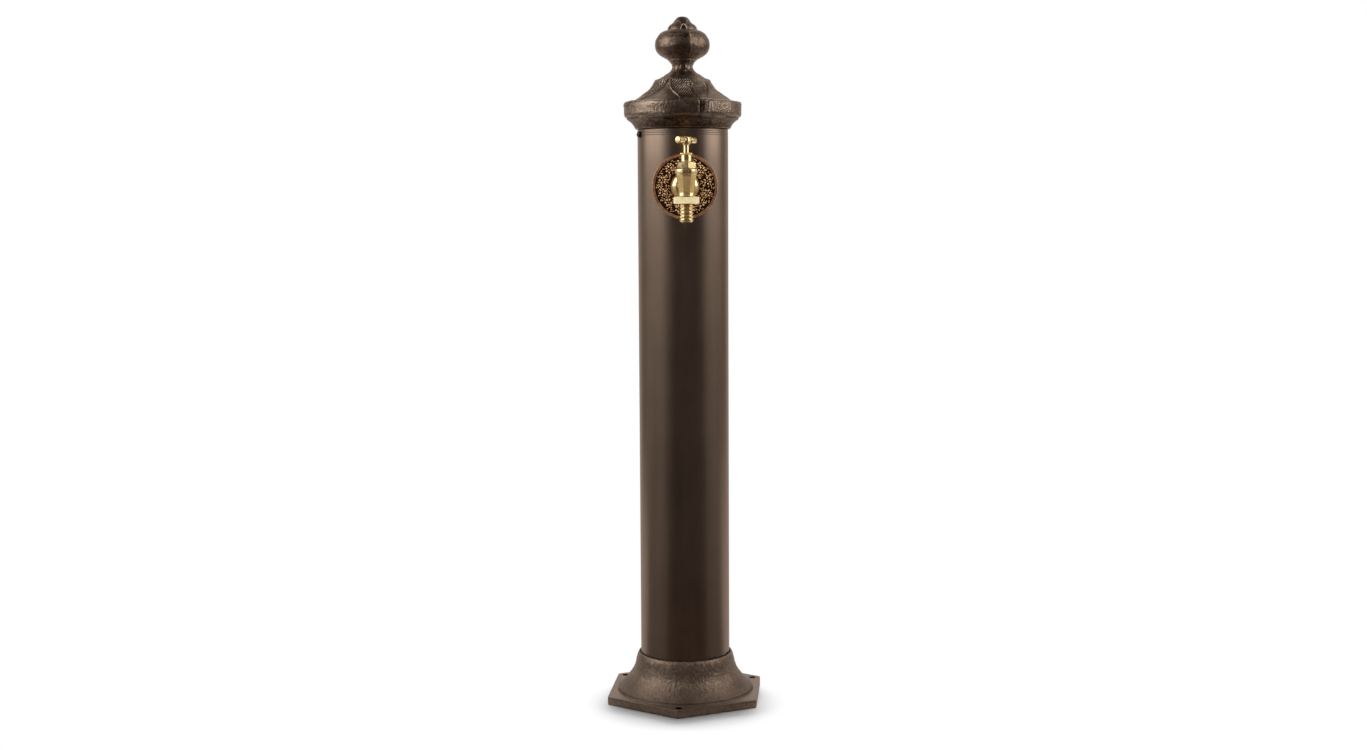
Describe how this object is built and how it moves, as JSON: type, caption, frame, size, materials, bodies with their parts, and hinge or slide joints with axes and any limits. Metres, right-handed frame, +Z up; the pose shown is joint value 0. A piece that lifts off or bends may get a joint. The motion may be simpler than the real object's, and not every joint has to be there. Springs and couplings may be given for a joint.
{
  "type": "garden water fountain",
  "caption": "Column garden fountain: cast hexagonal foot and cap with finial on a round tube, with a floral rosette and a brass screw-down hose tap.",
  "frame": {"origin": "on the ground at the centre of the foot plate, on the column's axis", "axes": "+Z up along the column, the tap faces -Y, +X to the tap's right as seen from the front"},
  "size_m": [0.212, 0.2357, 0.9124],
  "materials": {
    "cast_paint": "dark brown paint over rough sand casting, satin",
    "tube_paint": "dark brown powder coat, satin",
    "black_sealant": "black sealant",
    "black_steel": "black oxide, glossy",
    "zinc_steel": "zinc plated",
    "copper_patina": "coppered casting, dark in its recesses",
    "polished_brass": "polished brass",
    "plain_brass": "machined brass",
    "black_rubber": "black rubber",
    "red_fibre": "pressed fibre",
    "white_pipe": "white multilayer pipe"
  },
  "bodies": {
    "column": {"base_casting": "cast_paint", "foot_sealant": "black_sealant", "column_tube": "tube_paint", "cap_casting": "cast_paint", "cap_screws": "black_steel", "finial": "cast_paint", "finial_stud": "zinc_steel", "finial_washer": "zinc_steel", "finial_nut": "zinc_steel", "rosette_plate": "copper_patina", "wall_flange": "polished_brass", "tap_body": "polished_brass", "bonnet": "polished_brass", "bonnet_seal": "red_fibre", "gland_packing": "black_rubber", "gland_nut": "polished_brass", "inlet_washer": "black_rubber", "inlet_locknut": "plain_brass", "inlet_elbow": "plain_brass", "supply_connector": "plain_brass", "riser_pipe": "white_pipe", "riser_olives": "plain_brass", "riser_nuts": "plain_brass"},
    "valve": {"jumper_valve": "plain_brass", "valve_washer": "black_rubber", "washer_nut": "plain_brass"},
    "spindle": {"spindle": "polished_brass", "handle_bar": "polished_brass", "handle_screw": "polished_brass"},
    "hose_tail": {"hose_tail": "polished_brass", "tail_gasket": "black_rubber"},
    "union": {"union_nut": "polished_brass"}
  },
  "joints": [
    {"name": "valve_lift", "type": "slide", "parent": "column", "child": "valve", "axis": [0, 0, 1], "range_m": [0, 0.005]},
    {"name": "spindle_turn", "type": "hinge", "parent": "valve", "child": "spindle", "pos_m": [0, -0.104, 0.7], "axis": [0, 0, 1], "range_deg": [0, 900]},
    {"name": "tail_drop", "type": "slide", "parent": "column", "child": "hose_tail", "axis": [0, 0, -1], "range_m": [0, 0.0041]},
    {"name": "union_turn", "type": "hinge", "parent": "hose_tail", "child": "union", "pos_m": [0, -0.104, 0.67], "axis": [0, 0, -1], "range_deg": [0, 810]}
  ],
  "couplings": [
    {"joint": "valve_lift", "follows": "spindle_turn", "m_per_rad": 0.0003183},
    {"joint": "tail_drop", "follows": "union_turn", "m_per_rad": 0.00028875}
  ]
}
